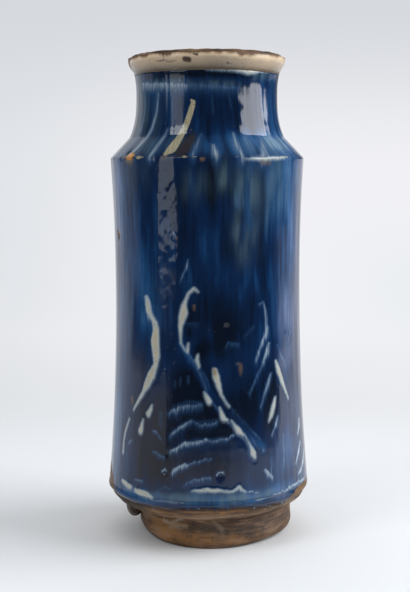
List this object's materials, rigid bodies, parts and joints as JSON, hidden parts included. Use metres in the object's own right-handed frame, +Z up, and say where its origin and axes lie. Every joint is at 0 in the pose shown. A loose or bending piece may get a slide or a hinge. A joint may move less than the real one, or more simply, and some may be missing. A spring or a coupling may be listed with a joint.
{
  "type": "albarello drug jar",
  "caption": "Tall waisted storage jar of glazed earthenware with a sharp shoulder, a narrow neck with an everted lip for a tied cover, and a bare turned foot.",
  "frame": {"origin": "on the table, under the middle of the jar's body", "axes": "+Z up along the jar's axis, -Y towards the front of the jar, +X to the right seen from the front"},
  "size_m": [0.128, 0.128, 0.3],
  "materials": {
    "bare_clay": "matt, unglazed",
    "worn_clay": "matt, worn",
    "luting_slip": "matt, unglazed",
    "pale_slip": "matt",
    "blue_glaze": "glossy",
    "blue_hem": "glossy",
    "cream_glaze": "glossy, crazed",
    "lining_glaze": "glossy",
    "dark_glaze": "glossy"
  },
  "bodies": {
    "root": {"foot": "bare_clay", "base_dish": "bare_clay", "body_wall": "bare_clay", "shoulder": "bare_clay", "neck": "bare_clay", "lip": "worn_clay", "luting_slip": "luting_slip", "slip_coat": "pale_slip", "blue_glaze": "blue_glaze", "glaze_hem": "blue_hem", "rim_glaze": "cream_glaze", "lining_glaze": "lining_glaze", "foot_lump": "dark_glaze"}
  },
  "joints": []
}
